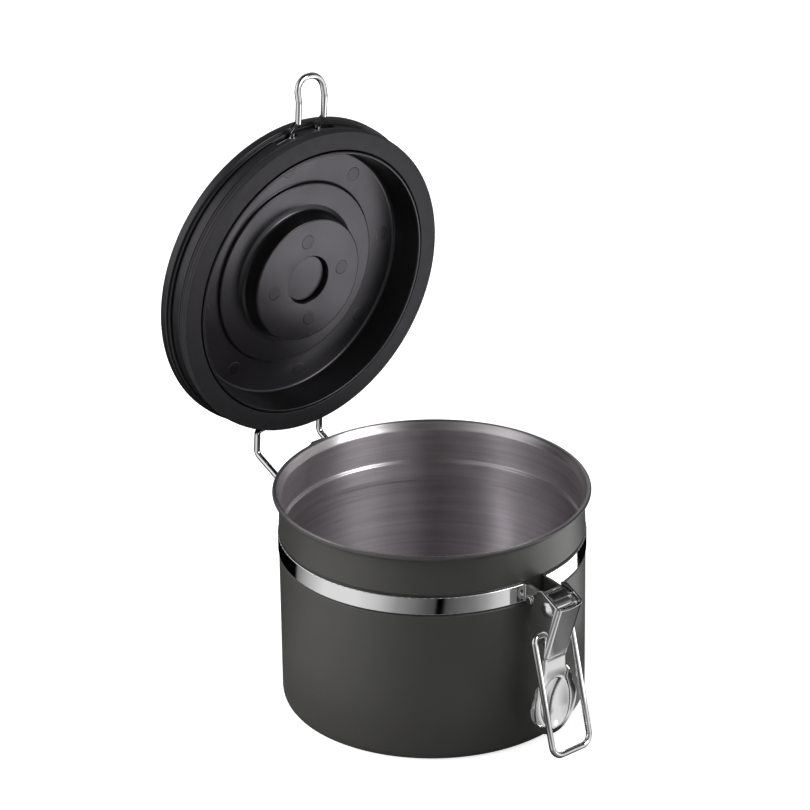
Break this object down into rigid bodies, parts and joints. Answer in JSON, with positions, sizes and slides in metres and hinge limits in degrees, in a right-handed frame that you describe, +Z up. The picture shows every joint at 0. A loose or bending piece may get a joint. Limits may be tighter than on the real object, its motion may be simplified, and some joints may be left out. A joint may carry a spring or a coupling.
{
  "type": "coffee canister with valve",
  "caption": "Round steel storage canister with a hinged lid, a wire bail and lever latch, a sealing ring and a one-way gas valve in the lid.",
  "frame": {"origin": "centre of the flat base that the canister stands on", "axes": "+Z up, the latch faces -Y, the lid's hinge is at +Y"},
  "size_m": [0.1348, 0.1839, 0.25],
  "materials": {
    "coated_steel": "dark satin powder coat outside, brushed bare steel inside",
    "bright_steel": "polished pressed steel",
    "bright_wire": "polished round wire",
    "lid_plastic": "satin moulded",
    "valve_plastic": "satin moulded",
    "gasket_rubber": "matte silicone",
    "filter_felt": "thin white felt"
  },
  "bodies": {
    "canister": {"canister_body": "coated_steel", "clamp_band": "bright_steel", "band_screw": "bright_steel", "band_nut": "bright_steel", "ear_bush": "bright_steel", "hinge_bracket": "bright_steel"},
    "lid": {"lid_cover": "lid_plastic", "lid_liner": "lid_plastic", "lid_gasket": "gasket_rubber", "lid_wire": "bright_wire", "valve_plug": "lid_plastic", "valve_filter": "filter_felt", "valve_housing": "valve_plastic", "valve_ring": "gasket_rubber", "valve_cap": "valve_plastic"},
    "valve": {"valve_disc": "gasket_rubber"},
    "lever": {"latch_lever": "bright_steel", "lever_rivet": "bright_steel"},
    "bail": {"latch_bail": "bright_wire"}
  },
  "joints": [
    {"name": "lid_hinge", "type": "hinge", "parent": "canister", "child": "lid", "pos_m": [0, 0.07245, 0.0858], "axis": [1, 0, 0], "range_deg": [0, 85.2]},
    {"name": "valve_lift", "type": "slide", "parent": "lid", "child": "valve", "axis": [0, 0.9965, 0.0837], "range_m": [0, 0.0006]},
    {"name": "lever_swing", "type": "hinge", "parent": "canister", "child": "lever", "pos_m": [0, -0.0772, 0.0682], "axis": [-1, 0, 0], "range_deg": [0, 105]},
    {"name": "bail_swing", "type": "hinge", "parent": "lever", "child": "bail", "pos_m": [0, -0.07279, 0.05513], "axis": [-1, 0, 0], "range_deg": [0, 79]}
  ]
}
